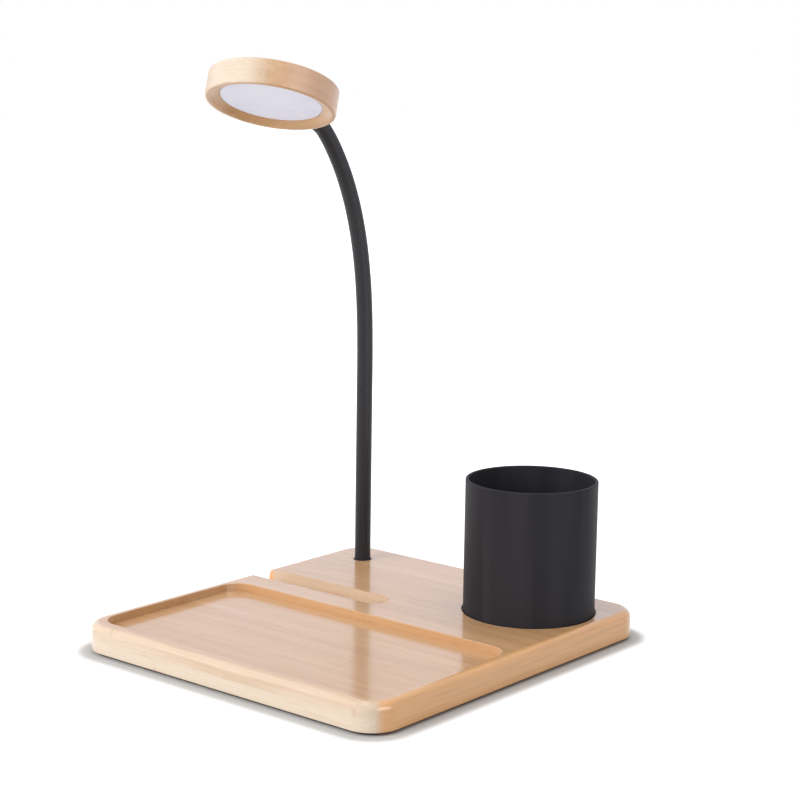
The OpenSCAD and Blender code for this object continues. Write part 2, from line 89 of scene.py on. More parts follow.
PIVOTS = [Vector(joint["pos_m"]) for joint in frame["joints"] if joint["name"].startswith("neck_")]
PIVOTS.sort(key=lambda place: place.z)
UP = Vector((0, 0, 1))
HEAD_AIM = Vector((0, -math.sin(math.radians(HEAD_LEAN)), math.cos(math.radians(HEAD_LEAN))))
PIECE = (PIVOTS[1] - PIVOTS[0]).length
NECK_TIP = PIVOTS[-1] + HEAD_AIM * PIECE / 2
HEAD_TURN = Matrix.Rotation(math.radians(-HEAD_TILT), 4, "X") @ Matrix.Rotation(math.radians(-HEAD_ROLL), 4, "Y")
HEAD_PLACE = Matrix.Translation(NECK_TIP) @ HEAD_TURN @ Matrix.Translation(mm(0, -HEAD_R, -ENTRY_LEVEL))


# ---- Materials ----


class Link:
    """One output of a shader node. Arithmetic on it adds Math nodes."""

    def __init__(self, recipe, socket):
        self.recipe, self.socket = recipe, socket

    def math(self, operation, *others):
        return self.recipe.node("Math", {"operation": operation}, [self, *others])

    def __add__(self, other):
        return self.math("ADD", other)

    def __sub__(self, other):
        return self.math("SUBTRACT", other)

    def __rsub__(self, other):
        return self.recipe.node("Math", {"operation": "SUBTRACT"}, [other, self])

    def __mul__(self, other):
        return self.math("MULTIPLY", other)

    def __truediv__(self, other):
        return self.math("DIVIDE", other)

    __radd__ = __add__
    __rmul__ = __mul__

    def floor(self):
        return self.math("FLOOR")

    def fraction(self):
        return self.math("FRACT")

    def size(self):
        return self.math("ABSOLUTE")

    def between(self, low, high, to_low=0.0, to_high=1.0):
        """The value stretched from low..high to to_low..to_high, smoothly, and held at the ends."""
        settings = {"interpolation_type": "SMOOTHSTEP"}
        values = {"Value": self, "From Min": low, "From Max": high, "To Min": to_low, "To Max": to_high}
        return self.recipe.node("MapRange", settings, values)


class Recipe:
    """A material and the nodes that make it."""

    def __init__(self, name):
        self.material = bpy.data.materials.new(name)
        self.material.use_nodes = True
        self.tree = self.material.node_tree
        self.tree.nodes.clear()

    def node(self, kind, settings=None, inputs=(), output=0):
        made = self.tree.nodes.new("ShaderNode" + kind)
        for key, value in (settings or {}).items():
            setattr(made, key, value)
        pairs = inputs.items() if isinstance(inputs, dict) else enumerate(inputs)
        for key, value in pairs:
            if isinstance(value, Link):
                self.tree.links.new(value.socket, made.inputs[key])
            else:
                made.inputs[key].default_value = value
        return Link(self, made.outputs[output]) if made.outputs else None

    def place(self, source="Object"):
        return self.node("TexCoord", output=source)

    def split(self, vector):
        return [self.node("SeparateXYZ", inputs=[vector], output=axis) for axis in range(3)]

    def join(self, x, y, z):
        return self.node("CombineXYZ", inputs=[x, y, z])

    def noise(self, vector, scale, detail=2.0, roughness=0.5):
        values = {"Vector": vector, "Scale": scale, "Detail": detail, "Roughness": roughness}
        return self.node("TexNoise", inputs=values)

    def chance(self, value):
        """A number from 0 to 1 that depends on the value alone."""
        return self.node("TexWhiteNoise", {"noise_dimensions": "1D"}, {"W": value})

    def mix(self, amount, first, second, kind="MIX"):
        settings = {"data_type": "RGBA", "blend_type": kind, "clamp_factor": True}
        return self.node("Mix", settings, {0: amount, 6: first, 7: second}, output=2)

    def bump(self, height, distance, strength=1.0):
        return self.node("Bump", inputs={"Height": height, "Distance": distance, "Strength": strength})

    def surface(self, **values):
        """Ends the material with a Principled shader."""
        sockets = {key.replace("_", " "): value for key, value in values.items()}
        shader = self.node("BsdfPrincipled", inputs=sockets)
        self.node("OutputMaterial", inputs={"Surface": shader})
        return self.material


def colour(red, green, blue):
    """An sRGB colour from 0 to 255 as the linear colour that nodes take."""
    levels = [level / 255 for level in (red, green, blue)]
    linear = [v / 12.92 if v <= 0.04045 else ((v + 0.055) / 1.055) ** 2.4 for v in levels]
    return (*linear, 1)


def bamboo(name, edge, end_tone, lacquer=1.0, gloss=0.14, board=None):
    """Laminated bamboo with a clear lacquer: strips along X, fibres, knuckles and glue lines.

    The function edge gives two shares from x, y, z: how far a spot takes a pale tone, a painted
    highlight where light falls brightest on the strips' sides, and how far on their end grain, which has the tone
    end_tone.
    """
    strip_w, ply_t, knuckle_gap = mm(17.5), mm(4.6), mm(235)
    wood = Recipe(name)
    spot = wood.place()
    if board is not None:
        turned = {"Vector": spot, "Location": board.to_translation(), "Rotation": board.to_euler()}
        spot = wood.node("Mapping", {"vector_type": "TEXTURE"}, turned)
    x, y, z = wood.split(spot)
    painted_highlight_share, end_grain = edge(x, y, z)
    face_grain = 1 - end_grain
    wander = wood.noise(wood.join(x * 9, y * 4, z * 4), 1, 1)
    ply = (z / ply_t + 0.3).floor()
    across = y / strip_w + wander * 0.12 + ply * 0.43
    strip = across.floor() + ply * 17
    tone = wood.chance(strip)
    shift = wood.chance(strip + 0.5)
    along = x + shift * 1.7

    broad = wood.noise(wood.join(along * 7, y * 160, z * 160), 1, 3, 0.55)
    fine = wood.noise(wood.join(along * 26, y * 900, z * 900), 1, 2, 0.6)
    dashes = wood.noise(wood.join(along * 60, y * 2300, z * 2300), 1, 1, 0.5).between(0.58, 0.74)
    layers = wood.noise(wood.join(x * 22, y * 22, z * 640), 1, 3, 0.6)
    seam = ((across.fraction() - 0.5).size()).between(0.482, 0.5)
    bend = wood.noise(wood.join(x * 30, y * 260, z * 200), 1, 2) * mm(3)
    knuckle = ((((along + bend) / knuckle_gap).fraction() - 0.5).size()).between(0.4955, 0.4985)
    side_grain = wood.node("Mix", {"data_type": "FLOAT"}, {0: end_grain, 2: fine, 3: layers})

    shade = wood.mix(tone.between(0, 1, 0.1, 0.8), colour(219, 176, 130), colour(206, 160, 113))
    shade = wood.mix(broad.between(0.35, 0.68, 0, 0.5), shade, colour(194, 146, 98))
    # Painted highlight: a pale, greyish tone on the share that edge gives, standing for bright light on the strips'
    # sides.
    shade = wood.mix(painted_highlight_share * 0.85, shade, colour(231, 217, 198))
    shade = wood.mix(end_grain * 0.85, shade, end_tone)
    streaks = side_grain.between(0.42, 0.75, 0, 0.34) * (1 - painted_highlight_share * 0.5)
    shade = wood.mix(streaks, shade, colour(196, 144, 96))
    shade = wood.mix(dashes * face_grain * 0.2, shade, colour(160, 108, 64))
    shade = wood.mix(seam * face_grain * 0.24, shade, colour(176, 124, 76))
    shade = wood.mix(knuckle * face_grain * 0.16, shade, colour(158, 108, 64))

    height = side_grain * 0.6 + (broad * 0.4 - seam * 0.8 - dashes * 0.3) * face_grain
    return wood.surface(
        Base_Color=shade,
        Roughness=side_grain.between(0.3, 0.8, 0.4, 0.52),
        Coat_Weight=lacquer,
        Coat_Roughness=gloss,
        Coat_IOR=1.45,
        Specular_IOR_Level=0.3,
        Normal=wood.bump(height, mm(0.05), 0.25),
    )


def past_corners(x, y):
    """How far a spot lies past the middle of the base's nearest corner: along X, and in all."""
    past_x = (x.size() - mm(BASE_W / 2 - CORNER_R)).math("MAXIMUM", 0.0)
    past_y = (y.size() - mm(BASE_D / 2 - CORNER_R)).math("MAXIMUM", 0.0)
    return past_x, (past_x * past_x + past_y * past_y).math("SQRT")


def board_highlight_and_end_grain(x, y, z):
    """Shares on the base of painted highlight (front and back faces, strongest low down, and the slot's back wall)
    and of end grain.
    """
    past_x, reach = past_corners(x, y)
    wall = reach.between(mm(CORNER_R - EDGE_ROUND * 1.2), mm(CORNER_R - EDGE_ROUND * 0.4))
    turn = past_x / reach
    # Painted bounce light: the highlight is full on the lower part of the faces and weaker towards the top edge.
    low = z.between(mm(BASE_TOP / 3), mm(BASE_TOP - 1), 1, 0.72)
    # Painted highlight: the pale tone on the slot's back wall, which stands for light falling on it; it fades out
    # at the rim.
    painted_slot_highlight = (y - mm(SLOT_Y + SLOT_W / 2)).size().between(mm(0.6), mm(1.4), 0.8, 0)
    painted_slot_highlight = painted_slot_highlight * z.between(mm(BASE_TOP - 0.4), mm(BASE_TOP - 0.05), 1, 0)
    painted_slot_highlight = painted_slot_highlight * (x + mm(BASE_W / 2 - SLOT_LEN)).between(0, mm(4), 1, 0)
    # Painted highlight on the front and back faces, where the strips' sides face the light, plus the slot wall's.
    painted_highlight = wall * turn.between(TURN_LOW, TURN_HIGH, 1, 0) * low + painted_slot_highlight
    return painted_highlight, wall * turn.between(TURN_LOW, TURN_HIGH)


def disc_highlight_and_end_grain(x, y, z):
    """Shares of painted highlight (the head's wall where it faces front and back) and of end grain on the round
    head's wall.
    """
    reach = (x * x + y * y).math("SQRT")
    wall = reach.between(mm(HEAD_R - HEAD_ROUND), mm(HEAD_R - 0.1))
    turn = (x / reach).size()
    # Painted highlight: the pale tone where the wall faces front and back.
    return wall * turn.between(0.25, 0.85, 1, 0), wall * turn.between(0.6, 0.95)


def grained(name, dark, light, rough, grain=2600, depth=0.03):
    """A moulded or coated surface: fine grain, faint clouds of colour and uneven gloss."""
    coat = Recipe(name)
    spot = coat.place()
    clouds = coat.noise(spot, 45, 3)
    speck = coat.noise(spot, grain, 2, 0.6)
    shade = coat.mix(clouds.between(0.3, 0.7) * 0.5 + speck.between(0.35, 0.7) * 0.5, dark, light)
    gloss = clouds * 0.08 + speck * 0.06 + (rough - 0.07)
    return coat.surface(Base_Color=shade, Roughness=gloss, Normal=coat.bump(speck, mm(depth), 0.5))


def metal(name, dark, light, rough):
    """Bare metal with fine drawn lines."""
    bare = Recipe(name)
    x, y, z = bare.split(bare.place())
    lines = bare.noise(bare.join(x * 60, y * 2200, z * 2200), 1, 3)
    stain = bare.noise(bare.place(), 120, 2)
    shade = bare.mix(lines * 0.7 + stain.between(0.3, 0.7) * 0.3, dark, light)
    gloss = lines * 0.16 + (rough - 0.08)
    return bare.surface(Base_Color=shade, Roughness=gloss, Metallic=1.0, Normal=bare.bump(lines, mm(0.01), 0.3))


def sleeve_black():
    """Satin black neck sleeve: fine streaks along the neck, from the piece's own UV map."""
    skin = Recipe("neck_sleeve")
    round_it, along, _ = skin.split(skin.place("UV"))
    streaks = skin.noise(skin.join(round_it * 44, along * 42, 0), 1, 3, 0.6)
    specks = skin.noise(skin.join(round_it * 120, along * 260, 0), 1, 2, 0.6)
    mottle = streaks.between(0.34, 0.68) * 0.65 + specks.between(0.35, 0.7) * 0.35
    shade = skin.mix(mottle, colour(18, 17, 20), colour(60, 58, 62))
    return skin.surface(
        Base_Color=shade,
        Roughness=mottle * -0.08 + 0.5,
        Specular_IOR_Level=0.25,
        Normal=skin.bump(streaks + specks * 0.5, mm(0.06), 0.6),
    )


def cup_black():
    """Matte black cup: a fine powdery grain with faint bands down the wall."""
    skin = Recipe("cup_coat")
    x, y, z = skin.split(skin.place())
    bands = skin.noise(skin.join(x * 90, y * 90, z * 6), 1, 2)
    grain = skin.noise(skin.place(), 3200, 2, 0.6)
    shade = skin.mix(bands.between(0.3, 0.7) * 0.6 + grain * 0.4, colour(40, 39, 43), colour(54, 52, 57))
    return skin.surface(
        Base_Color=shade,
        Roughness=bands * 0.08 + 0.5,
        Specular_IOR_Level=0.08,
        Normal=skin.bump(grain, mm(0.02), 0.4),
    )


def diffuser_white():
    """Frosted white sheet over the lights, a touch lilac, with a faint painted glow."""
    sheet = Recipe("diffuser_sheet")
    spot = sheet.place()
    frost = sheet.noise(spot, 2800, 2, 0.6)
    clouds = sheet.noise(spot, 40, 2)
    shade = sheet.mix(clouds.between(0.3, 0.7), colour(220, 221, 241), colour(230, 233, 248))
    # The emission is a painted glow: it brightens the down-facing sheet in place of light bounced up to it.
    return sheet.surface(
        Base_Color=shade,
        Roughness=frost * 0.1 + 0.4,
        Emission_Color=shade,
        Emission_Strength=0.16,
        Normal=sheet.bump(frost, mm(0.01), 0.3),
    )


def circuit_board():
    """Green solder mask with paler copper tracks under it."""
    board = Recipe("board_green")
    x, y, _ = board.split(board.place())
    cell = mm(2.4)
    grid_x, grid_y = (x / cell).floor(), (y / cell).floor()
    turn = board.chance(grid_x * 13.1 + grid_y * 7.7)
    near_x, near_y = ((x / cell).fraction() - 0.5).size(), ((y / cell).fraction() - 0.5).size()
    one_way = turn.between(0.49, 0.51)
    track = near_x.between(0.08, 0.12, 1, 0) * one_way + near_y.between(0.08, 0.12, 1, 0) * (1 - one_way)
    shade = board.mix(track * 0.7, colour(24, 84, 46), colour(52, 128, 78))
    return board.surface(Base_Color=shade, Roughness=track * -0.1 + 0.42, Normal=board.bump(track, mm(0.03), 0.4))


def felt(name, dark, light):
    """Pressed fibres: short hairs in every direction."""
    cloth = Recipe(name)
    spot = cloth.place()
    hairs = cloth.noise(spot, 1500, 5, 0.75)
    tufts = cloth.noise(spot, 260, 3, 0.6)
    shade = cloth.mix(hairs.between(0.35, 0.7) * 0.7 + tufts.between(0.3, 0.7) * 0.3, dark, light)
    return cloth.surface(
        Base_Color=shade,
        Roughness=0.95,
        Sheen_Weight=0.3,
        Specular_IOR_Level=0.15,
        Normal=cloth.bump(hairs + tufts, mm(0.2), 0.7),
    )


# ---- Modelling ----


def leave_edit():
    """Goes back to object mode, if need be."""
    if bpy.context.mode != "OBJECT":
        bpy.ops.object.mode_set(mode="OBJECT")


def only(piece):
    """Selects this object alone."""
    leave_edit()
    bpy.ops.object.select_all(action="DESELECT")
    piece.select_set(True)
    bpy.context.view_layer.objects.active = piece


def fresh():
    """Deselects everything before a primitive is added."""
    leave_edit()
    bpy.ops.object.select_all(action="DESELECT")


def named(name):
    """The object that an operator has just added, under its own name and settled at the origin."""
    piece = bpy.context.object
    piece.name = piece.data.name = name
    bpy.ops.object.transform_apply(location=True, rotation=True, scale=True)
    return piece


def pick(piece, kind, test):
    """In edit mode, selects the faces, edges or points that pass the test."""
    only(piece)
    bpy.ops.object.mode_set(mode="EDIT")
    bpy.ops.mesh.select_mode(type=kind)
    bpy.ops.mesh.select_all(action="DESELECT")
    mesh = bmesh.from_edit_mesh(piece.data)
    parts = {"VERT": mesh.verts, "EDGE": mesh.edges, "FACE": mesh.faces}[kind]
    for part in parts:
        if test(part):
            part.select_set(True)
    mesh.select_flush_mode()
    bmesh.update_edit_mesh(piece.data)


def round_edges(piece, size, segments, test):
    """Rounds the edges that pass the test."""
    pick(piece, "EDGE", test)
    bpy.ops.mesh.bevel(offset=mm(size), segments=segments, profile=0.5, clamp_overlap=True)
    leave_edit()


def level(height):
    """A test for edges that lie at one height, in millimetres."""
    return lambda edge: all(abs(v.co.z - mm(height)) < mm(0.01) for v in edge.verts)


def upright(edge):
    """A test for edges that stand upright."""
    a, b = (v.co for v in edge.verts)
    return abs(a.z - b.z) > mm(0.5) and (a.xy - b.xy).length < mm(0.01)


def block(name, size, centre):
    """A plain block."""
    fresh()
    bpy.ops.mesh.primitive_cube_add(size=1, location=mm(*centre), scale=mm(*size))
    return named(name)


def disc(name, radius, low, high, x=0.0, y=0.0, sides=128):
    """A cylinder that stands upright between two heights."""
    fresh()
    middle = mm(x, y, (low + high) / 2)
    bpy.ops.mesh.primitive_cylinder_add(vertices=sides, radius=mm(radius), depth=mm(high - low), location=middle)
    return named(name)


def plate(name, width, depth, low, high, corner, x=0.0, y=0.0, segments=16):
    """A block with round corners, seen from above."""
    piece = block(name, (width, depth, high - low), (x, y, (low + high) / 2))
    round_edges(piece, corner, segments, upright)
    return piece


def apply_last(piece, kind, **settings):
    """Adds one modifier, sets it and applies it."""
    only(piece)
    bpy.ops.object.modifier_add(type=kind)
    modifier = piece.modifiers[-1]
    for key, value in settings.items():
        setattr(modifier, key, value)
    bpy.ops.object.modifier_apply(modifier=modifier.name)


def cut(piece, *tools):
    """Takes the tools away from the piece, and deletes them."""
    for tool in tools:
        apply_last(piece, "BOOLEAN", operation="DIFFERENCE", solver="EXACT", object=tool)
        bpy.data.objects.remove(tool)


def clean(piece):
    """Merges doubled points and turns the faces outwards."""
    pick(piece, "VERT", lambda point: True)
    bpy.ops.mesh.remove_doubles(threshold=mm(0.002))
    bpy.ops.mesh.dissolve_degenerate(threshold=mm(0.001))
    bpy.ops.mesh.select_all(action="SELECT")
    bpy.ops.mesh.normals_make_consistent(inside=False)
    leave_edit()


def smooth(piece, angle=35, weighted=True):
    """Smooth shading, with the edges kept that are sharper than the angle."""
    only(piece)
    bpy.ops.object.shade_smooth_by_angle(angle=math.radians(angle))
    if weighted:
        apply_last(piece, "WEIGHTED_NORMAL", keep_sharp=True)


def finish_piece(piece, body, material, slot, *nodes):
    """Gives a piece its material and its body, and hides the solids that it stands for. The argument slot is not
    used.
    """
    piece.data.materials.clear()
    piece.data.materials.append(material)
    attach(piece, body)
    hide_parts(*nodes)


def make_base(material):
    """The bamboo slab with its pocket, slot, cup seat, cover seat and hollows."""
    base = plate("wooden_base", BASE_W, BASE_D, BASE_LOW, BASE_TOP, CORNER_R, segments=20)
    round_edges(base, EDGE_ROUND, 10, level(BASE_TOP))
    round_edges(base, FOOT_ROUND, 3, level(BASE_LOW))

    above = BASE_TOP + 6
    pocket_floor, slot_floor, seat_floor = BASE_TOP - POCKET_DEPTH, BASE_TOP - SLOT_DEPTH, BASE_TOP - SEAT_DEPTH
    pocket = plate("pocket_tool", POCKET_W, POCKET_D, pocket_floor, above, POCKET_R, y=POCKET_Y, segments=18)
    slot_over = 20
    slot_x = -BASE_W / 2 + (SLOT_LEN - slot_over) / 2
    slot = plate("slot_tool", SLOT_LEN + slot_over, SLOT_W, slot_floor, above, SLOT_W / 2 - 0.01, slot_x, SLOT_Y)
    seat = disc("seat_tool", SEAT_R, seat_floor, above, CUP_X, CUP_Y)
    cut(base, pocket, slot, seat)

    def rim(edge):
        """An edge where a wall of a cut meets the top or the rounded side."""
        if len(edge.link_faces) != 2 or max(v.co.z for v in edge.verts) < mm(SLOT_FLOOR_CLEAR):
            return False
        slopes = sorted(abs(face.normal.z) for face in edge.link_faces)
        middle = (edge.verts[0].co + edge.verts[1].co) / 2
        flat_x, flat_y = (mm(side / 2 - EDGE_ROUND - 0.2) for side in (BASE_W, BASE_D))
        if abs(middle.x) < flat_x and abs(middle.y) < flat_y:
            return slopes[0] < 0.01 and slopes[1] > 0.99 and middle.z > mm(BASE_TOP - 0.01)
        on_slot = abs(abs(middle.y - mm(SLOT_Y)) - mm(SLOT_W / 2)) < mm(0.02)
        return on_slot and edge.calc_face_angle(0) > 1 and middle.z > mm(slot_floor + 0.2)

    round_edges(base, RIM_ROUND, 4, rim)

    cut(
        base,
        plate("cover_tool", COVER_W, COVER_D, -1, COVER_TOP, COVER_R),
        disc("coil_tool", COIL_ROOM_R, 1, CEILING, 0, POCKET_Y, 64),
        plate("charger_tool", CHARGER_W, CHARGER_D, 1, CEILING, ROOM_CORNER, CHARGER_X, POCKET_Y, 6),
        plate("power_tool", POWER_W, POWER_D, 1, CEILING, ROOM_CORNER, POWER_X, POWER_Y, 6),
        disc("nut_tool", NUT_ROOM_R, 1, CEILING, NECK_X, NECK_Y, 48),
        way_tool(1, CHARGER_X, WAY_W, CHARGER_X / 2, POCKET_Y),
        way_tool(2, POWER_X - NECK_X, WAY_W, (POWER_X + NECK_X) / 2, NECK_Y),
        way_tool(3, WAY_W, POWER_Y - POCKET_Y + WAY_W / 2, CHARGER_X, (POWER_Y + POCKET_Y + WAY_W / 2) / 2),
        way_tool(4, CHARGER_X - POWER_X, WAY_W, (CHARGER_X + POWER_X) / 2, POWER_Y),
        disc("neck_tool", NECK_HOLE_R, 0, BASE_TOP + 3, NECK_X, NECK_Y, 48),
        disc("touch_tool", TOUCH_R, 1, TOUCH_TOP, TOUCH_X, POWER_Y, 48),
        make_socket_tool(),
        *[
            disc("screw_tool", SCREW_R, 1, SCREW_TOP, side * SCREW_X, row * SCREW_Y, 24)
            for side in (-1, 1)
            for row in (-1, 0, 1)
        ],
    )
    clean(base)
    smooth(base)
    finish_piece(base, "base", material, "bamboo", "bamboo_base")


def way_tool(number, width, depth, x, y):
    """A way for wires under the wood. Each ends a hair lower than the one before, so that no faces coincide."""
    top = CEILING - number / 100
    return block(f"way_{number}", (width, depth, top - 1), (x, y, (top + 1) / 2))


def make_socket_tool():
    """The opening in the back edge that the power socket shows in."""
    tool = block("socket_tool", (SOCKET_W, 16, SOCKET_H), (POWER_X, BASE_D / 2 - 6, SOCKET_Z))
    round_edges(tool, SOCKET_H / 2 - 0.01, 8, lambda e: abs(e.verts[0].co.y - e.verts[1].co.y) > mm(1))
    return tool


def make_cup(material):
    """The cup: a turned wall with a rolled rim, a floor and a foot."""
    cup = disc("cup", CUP_R, CUP_FOOT, CUP_TOP, CUP_X, CUP_Y, 160)
    pick(cup, "FACE", lambda face: face.normal.z > 0.9 and face.calc_center_median().z > mm(CUP_TOP - 1))
    bpy.ops.mesh.inset(thickness=mm(CUP_WALL))
    bpy.ops.mesh.extrude_region_move(TRANSFORM_OT_translate={"value": mm(0, 0, CUP_FLOOR - CUP_TOP)})
    leave_edit()
    pick(cup, "FACE", lambda face: face.normal.z < -0.9)
    bpy.ops.mesh.inset(thickness=mm(CUP_WALL))
    bpy.ops.mesh.extrude_region_move(TRANSFORM_OT_translate={"value": mm(0, 0, 0.6)})
    leave_edit()
    round_edges(cup, CUP_WALL / 2 - 0.02, 5, level(CUP_TOP))
    round_edges(cup, 1.2, 5, level(CUP_FLOOR))
    round_edges(cup, 0.3, 2, level(CUP_FOOT))
    clean(cup)
    smooth(cup, 50)
    finish_piece(cup, "cup", material, "cup_black", "pen_cup")


def make_head(material):
    """The round wooden head: rim, recess for the diffuser, light room and neck hole."""
    head = disc("lamp_head_shell", HEAD_R, 0, HEAD_T, sides=160)
    pick(head, "FACE", lambda face: face.normal.z < -0.9 and face.calc_center_median().z < mm(0.1))
    bpy.ops.mesh.inset(thickness=mm(HEAD_LIP))
    bpy.ops.mesh.inset(thickness=mm(HEAD_RIM - HEAD_LIP))
    bpy.ops.transform.translate(value=mm(0, 0, DIFFUSER_SUNK))
    bpy.ops.mesh.extrude_region_move(TRANSFORM_OT_translate={"value": mm(0, 0, DIFFUSER_T)})
    bpy.ops.mesh.inset(thickness=mm(HEAD_R - HEAD_RIM - LIGHT_R))
    bpy.ops.mesh.extrude_region_move(TRANSFORM_OT_translate={"value": mm(0, 0, ROOF - DIFFUSER_SUNK - DIFFUSER_T)})
    leave_edit()
    far = mm(HEAD_R - HEAD_LIP / 2)

    def outer(edge):
        """An edge of the head's wall, above or below."""
        return all(v.co.xy.length > far for v in edge.verts) and (level(0)(edge) or level(HEAD_T)(edge))

    def inner(edge):
        """An edge between the rim's lip and the recess."""
        return all(v.co.xy.length < far for v in edge.verts) and level(0)(edge)

    round_edges(head, HEAD_ROUND, 6, outer)
    round_edges(head, RIM_ROUND, 4, inner)
    head.data.transform(HEAD_PLACE)

    turn = HEAD_AIM.to_track_quat("Z", "Y").to_matrix().to_4x4()
    for name, radius, start, stop in (
        ("neck_hole", NECK_R + FIT, -6, NECK_INSERT),
        ("wire_hole", WIRE_HOLE_R, NECK_INSERT - 0.1, HEAD_R - LIGHT_R + 1.5),
    ):
        tool = disc(name, radius, start, stop, sides=48)
        tool.data.transform(Matrix.Translation(NECK_TIP) @ turn)
        cut(head, tool)
    clean(head)
    smooth(head)
    finish_piece(head, "lamp_head", material, "bamboo", "head_shell")


def make_diffuser(material):
    """The frosted sheet: a flat disc with a soft edge."""
    sheet = disc("light_diffuser", HEAD_R - HEAD_RIM - FIT, DIFFUSER_SUNK, DIFFUSER_SUNK + DIFFUSER_T)
    round_edges(sheet, 0.4, 3, level(DIFFUSER_SUNK))
    clean(sheet)
    smooth(sheet)
    sheet.data.transform(HEAD_PLACE)
    finish_piece(sheet, "lamp_head", material, "diffuser", "diffuser")


def make_collar(material):
    """The flat ring round the neck's foot."""
    low, high = BASE_TOP, BASE_TOP + COLLAR_H
    ring = disc("neck_collar_ring", COLLAR_R, low, high, NECK_X, NECK_Y, 64)
    cut(ring, disc("ring_tool", NECK_R + FIT, low - 1, high + 1, NECK_X, NECK_Y, 64))
    round_edges(ring, 0.12, 3, level(high))
    clean(ring)
    smooth(ring)
    finish_piece(ring, "base", material, "black_plastic", "neck_collar")


def neck_rod(name, places, aims, radius):
    """A round rod on a smooth curve through the places, where it runs along the aims."""
    line = bpy.data.curves.new(name, "CURVE")
    line.dimensions, line.resolution_u, line.twist_mode = "3D", 12, "MINIMUM"
    line.bevel_depth, line.bevel_resolution = mm(radius), NECK_SIDES // 4 - 2
    line.use_fill_caps = True
    spline = line.splines.new("BEZIER")
    spline.bezier_points.add(len(places) - 1)
    gaps = [(b - a).length / 3 for a, b in zip(places, places[1:])]
    befores, afters = [gaps[0], *gaps], [*gaps, gaps[-1]]
    for point, place, aim, before, after in zip(spline.bezier_points, places, aims, befores, afters):
        point.co = place
        point.handle_left_type = point.handle_right_type = "FREE"
        point.handle_left, point.handle_right = place - aim * before, place + aim * after
    rod = bpy.data.objects.new(name, line)
    bpy.context.scene.collection.objects.link(rod)
    only(rod)
    bpy.ops.object.convert(target="MESH")
    return bpy.context.object


def joint_ball(name, radius, place, aim):
    """A ball round a joint of the neck, with its rings square to the neck."""
    fresh()
    bpy.ops.mesh.primitive_uv_sphere_add(segments=BALL_SEGMENTS, ring_count=BALL_RINGS, radius=mm(radius))
    ball = named(name)
    ball.data.transform(Matrix.Translation(place) @ UP.rotation_difference(aim).to_matrix().to_4x4())
    return ball


def make_neck(material):
    """The bendable neck: a black tube on each piece, which turns on a ball of the piece below."""
    bodies = ["base", *[f"neck_{k:02d}" for k in range(1, len(PIVOTS))], "lamp_head"]
    solids = ["neck_root", *[f"neck_link_{k:02d}" for k in range(1, len(PIVOTS))], "neck_end"]
    places = [mm(NECK_X, NECK_Y, BASE_TOP), *PIVOTS, NECK_TIP, NECK_TIP + HEAD_AIM * mm(NECK_INSERT)]
    aims = [UP, *[(b - a).normalized() for a, b in zip(places, places[2:-1])], HEAD_AIM, HEAD_AIM]
    for number, (body, solid) in enumerate(zip(bodies, solids)):
        last = number == len(PIVOTS)
        through = slice(number, number + (3 if last else 2))
        on, along = places[through], aims[through]
        sleeve = neck_rod(f"neck_sleeve_{number + 1:02d}", on, along, NECK_R)
        if not last:
            ball = joint_ball("ball_tool", NECK_R - SOCKET_GAP, on[-1], along[-1])
            apply_last(sleeve, "BOOLEAN", operation="UNION", solver="EXACT", object=ball)
            bpy.data.objects.remove(ball)
        if number:
            cut(sleeve, joint_ball("socket_tool", NECK_R + SOCKET_GAP, on[0], along[0]))
        over = mm(NECK_R + 2)
        bore_places = [on[0] - along[0] * over, *on, on[-1] + along[-1] * over]
        cut(sleeve, neck_rod("bore_tool", bore_places, [along[0], *along, along[-1]], NECK_BORE))
        clean(sleeve)
        map_sleeve(sleeve, on, number)
        smooth(sleeve, 40, weighted=False)
        finish_piece(sleeve, body, material, "black_neck", solid)


def map_sleeve(sleeve, places, number):
    """A UV map with u round the neck and v along it, both running on from one piece to the next."""
    mesh = sleeve.data
    uv = mesh.uv_layers.get("UVMap") or mesh.uv_layers.new(name="UVMap")
    start, span = places[0], places[-1] - places[0]
    for polygon in mesh.polygons:
        middle = polygon.center
        for corner in polygon.loop_indices:
            place = mesh.vertices[mesh.loops[corner].vertex_index].co
            share = (place - start).dot(span) / span.length_squared
            centre = start + span * share
            turn = math.atan2(place.x - mm(NECK_X), -(place - centre).y) / math.tau
            middle_turn = math.atan2(middle.x - mm(NECK_X), -(middle - centre).y) / math.tau
            if turn - middle_turn > 0.5:
                turn -= 1
            elif middle_turn - turn > 0.5:
                turn += 1
            uv.data[corner].uv = (turn, number - 1 + share)


def dress_solids(*finishes):
    """Gives each solid that stays its procedural material."""
    for material, nodes in finishes:
        for node in nodes:
            mesh = frame["nodes"][node].data
            mesh.materials.clear()
            mesh.materials.append(material)


# ---- Light, floor and camera ----


def make_stage():
    """A white floor with the object's shadow, and a painted shade band: its glow fades out close to the base."""
    fresh()
    bpy.ops.mesh.primitive_plane_add(size=12, location=mm(0, 0, -FLOOR_GAP))
    floor = named("floor")
    paper = Recipe("floor_paper")
    seen = paper.node("LightPath", output="Is Camera Ray")
    mirrored = paper.node("LightPath", output="Is Glossy Ray")
    x, y, _ = paper.split(paper.place())
    away = past_corners(x, y)[1] - mm(CORNER_R)
    # Painted shade: the glow is nil within 3 mm of the base's outline and grows to most of its strength at 11 mm,
    # so the floor is greyer round the base even where no shadow falls; far off it rises to full white.
    glow_with_painted_shade = away.between(mm(3), mm(11), 0.0, 0.7) + away.between(mm(40), mm(500), 0.0, 0.4)
    lit = paper.node("BsdfDiffuse", inputs={"Color": (0.6, 0.6, 0.6, 1)})
    glow = paper.node("Emission", inputs={"Color": (1, 1, 1, 1), "Strength": seen.math("MAXIMUM", mirrored) * glow_with_painted_shade})
    both = paper.node("AddShader", inputs=[lit, glow])
    paper.node("OutputMaterial", inputs={"Surface": both})
    floor.data.materials.append(paper.material)


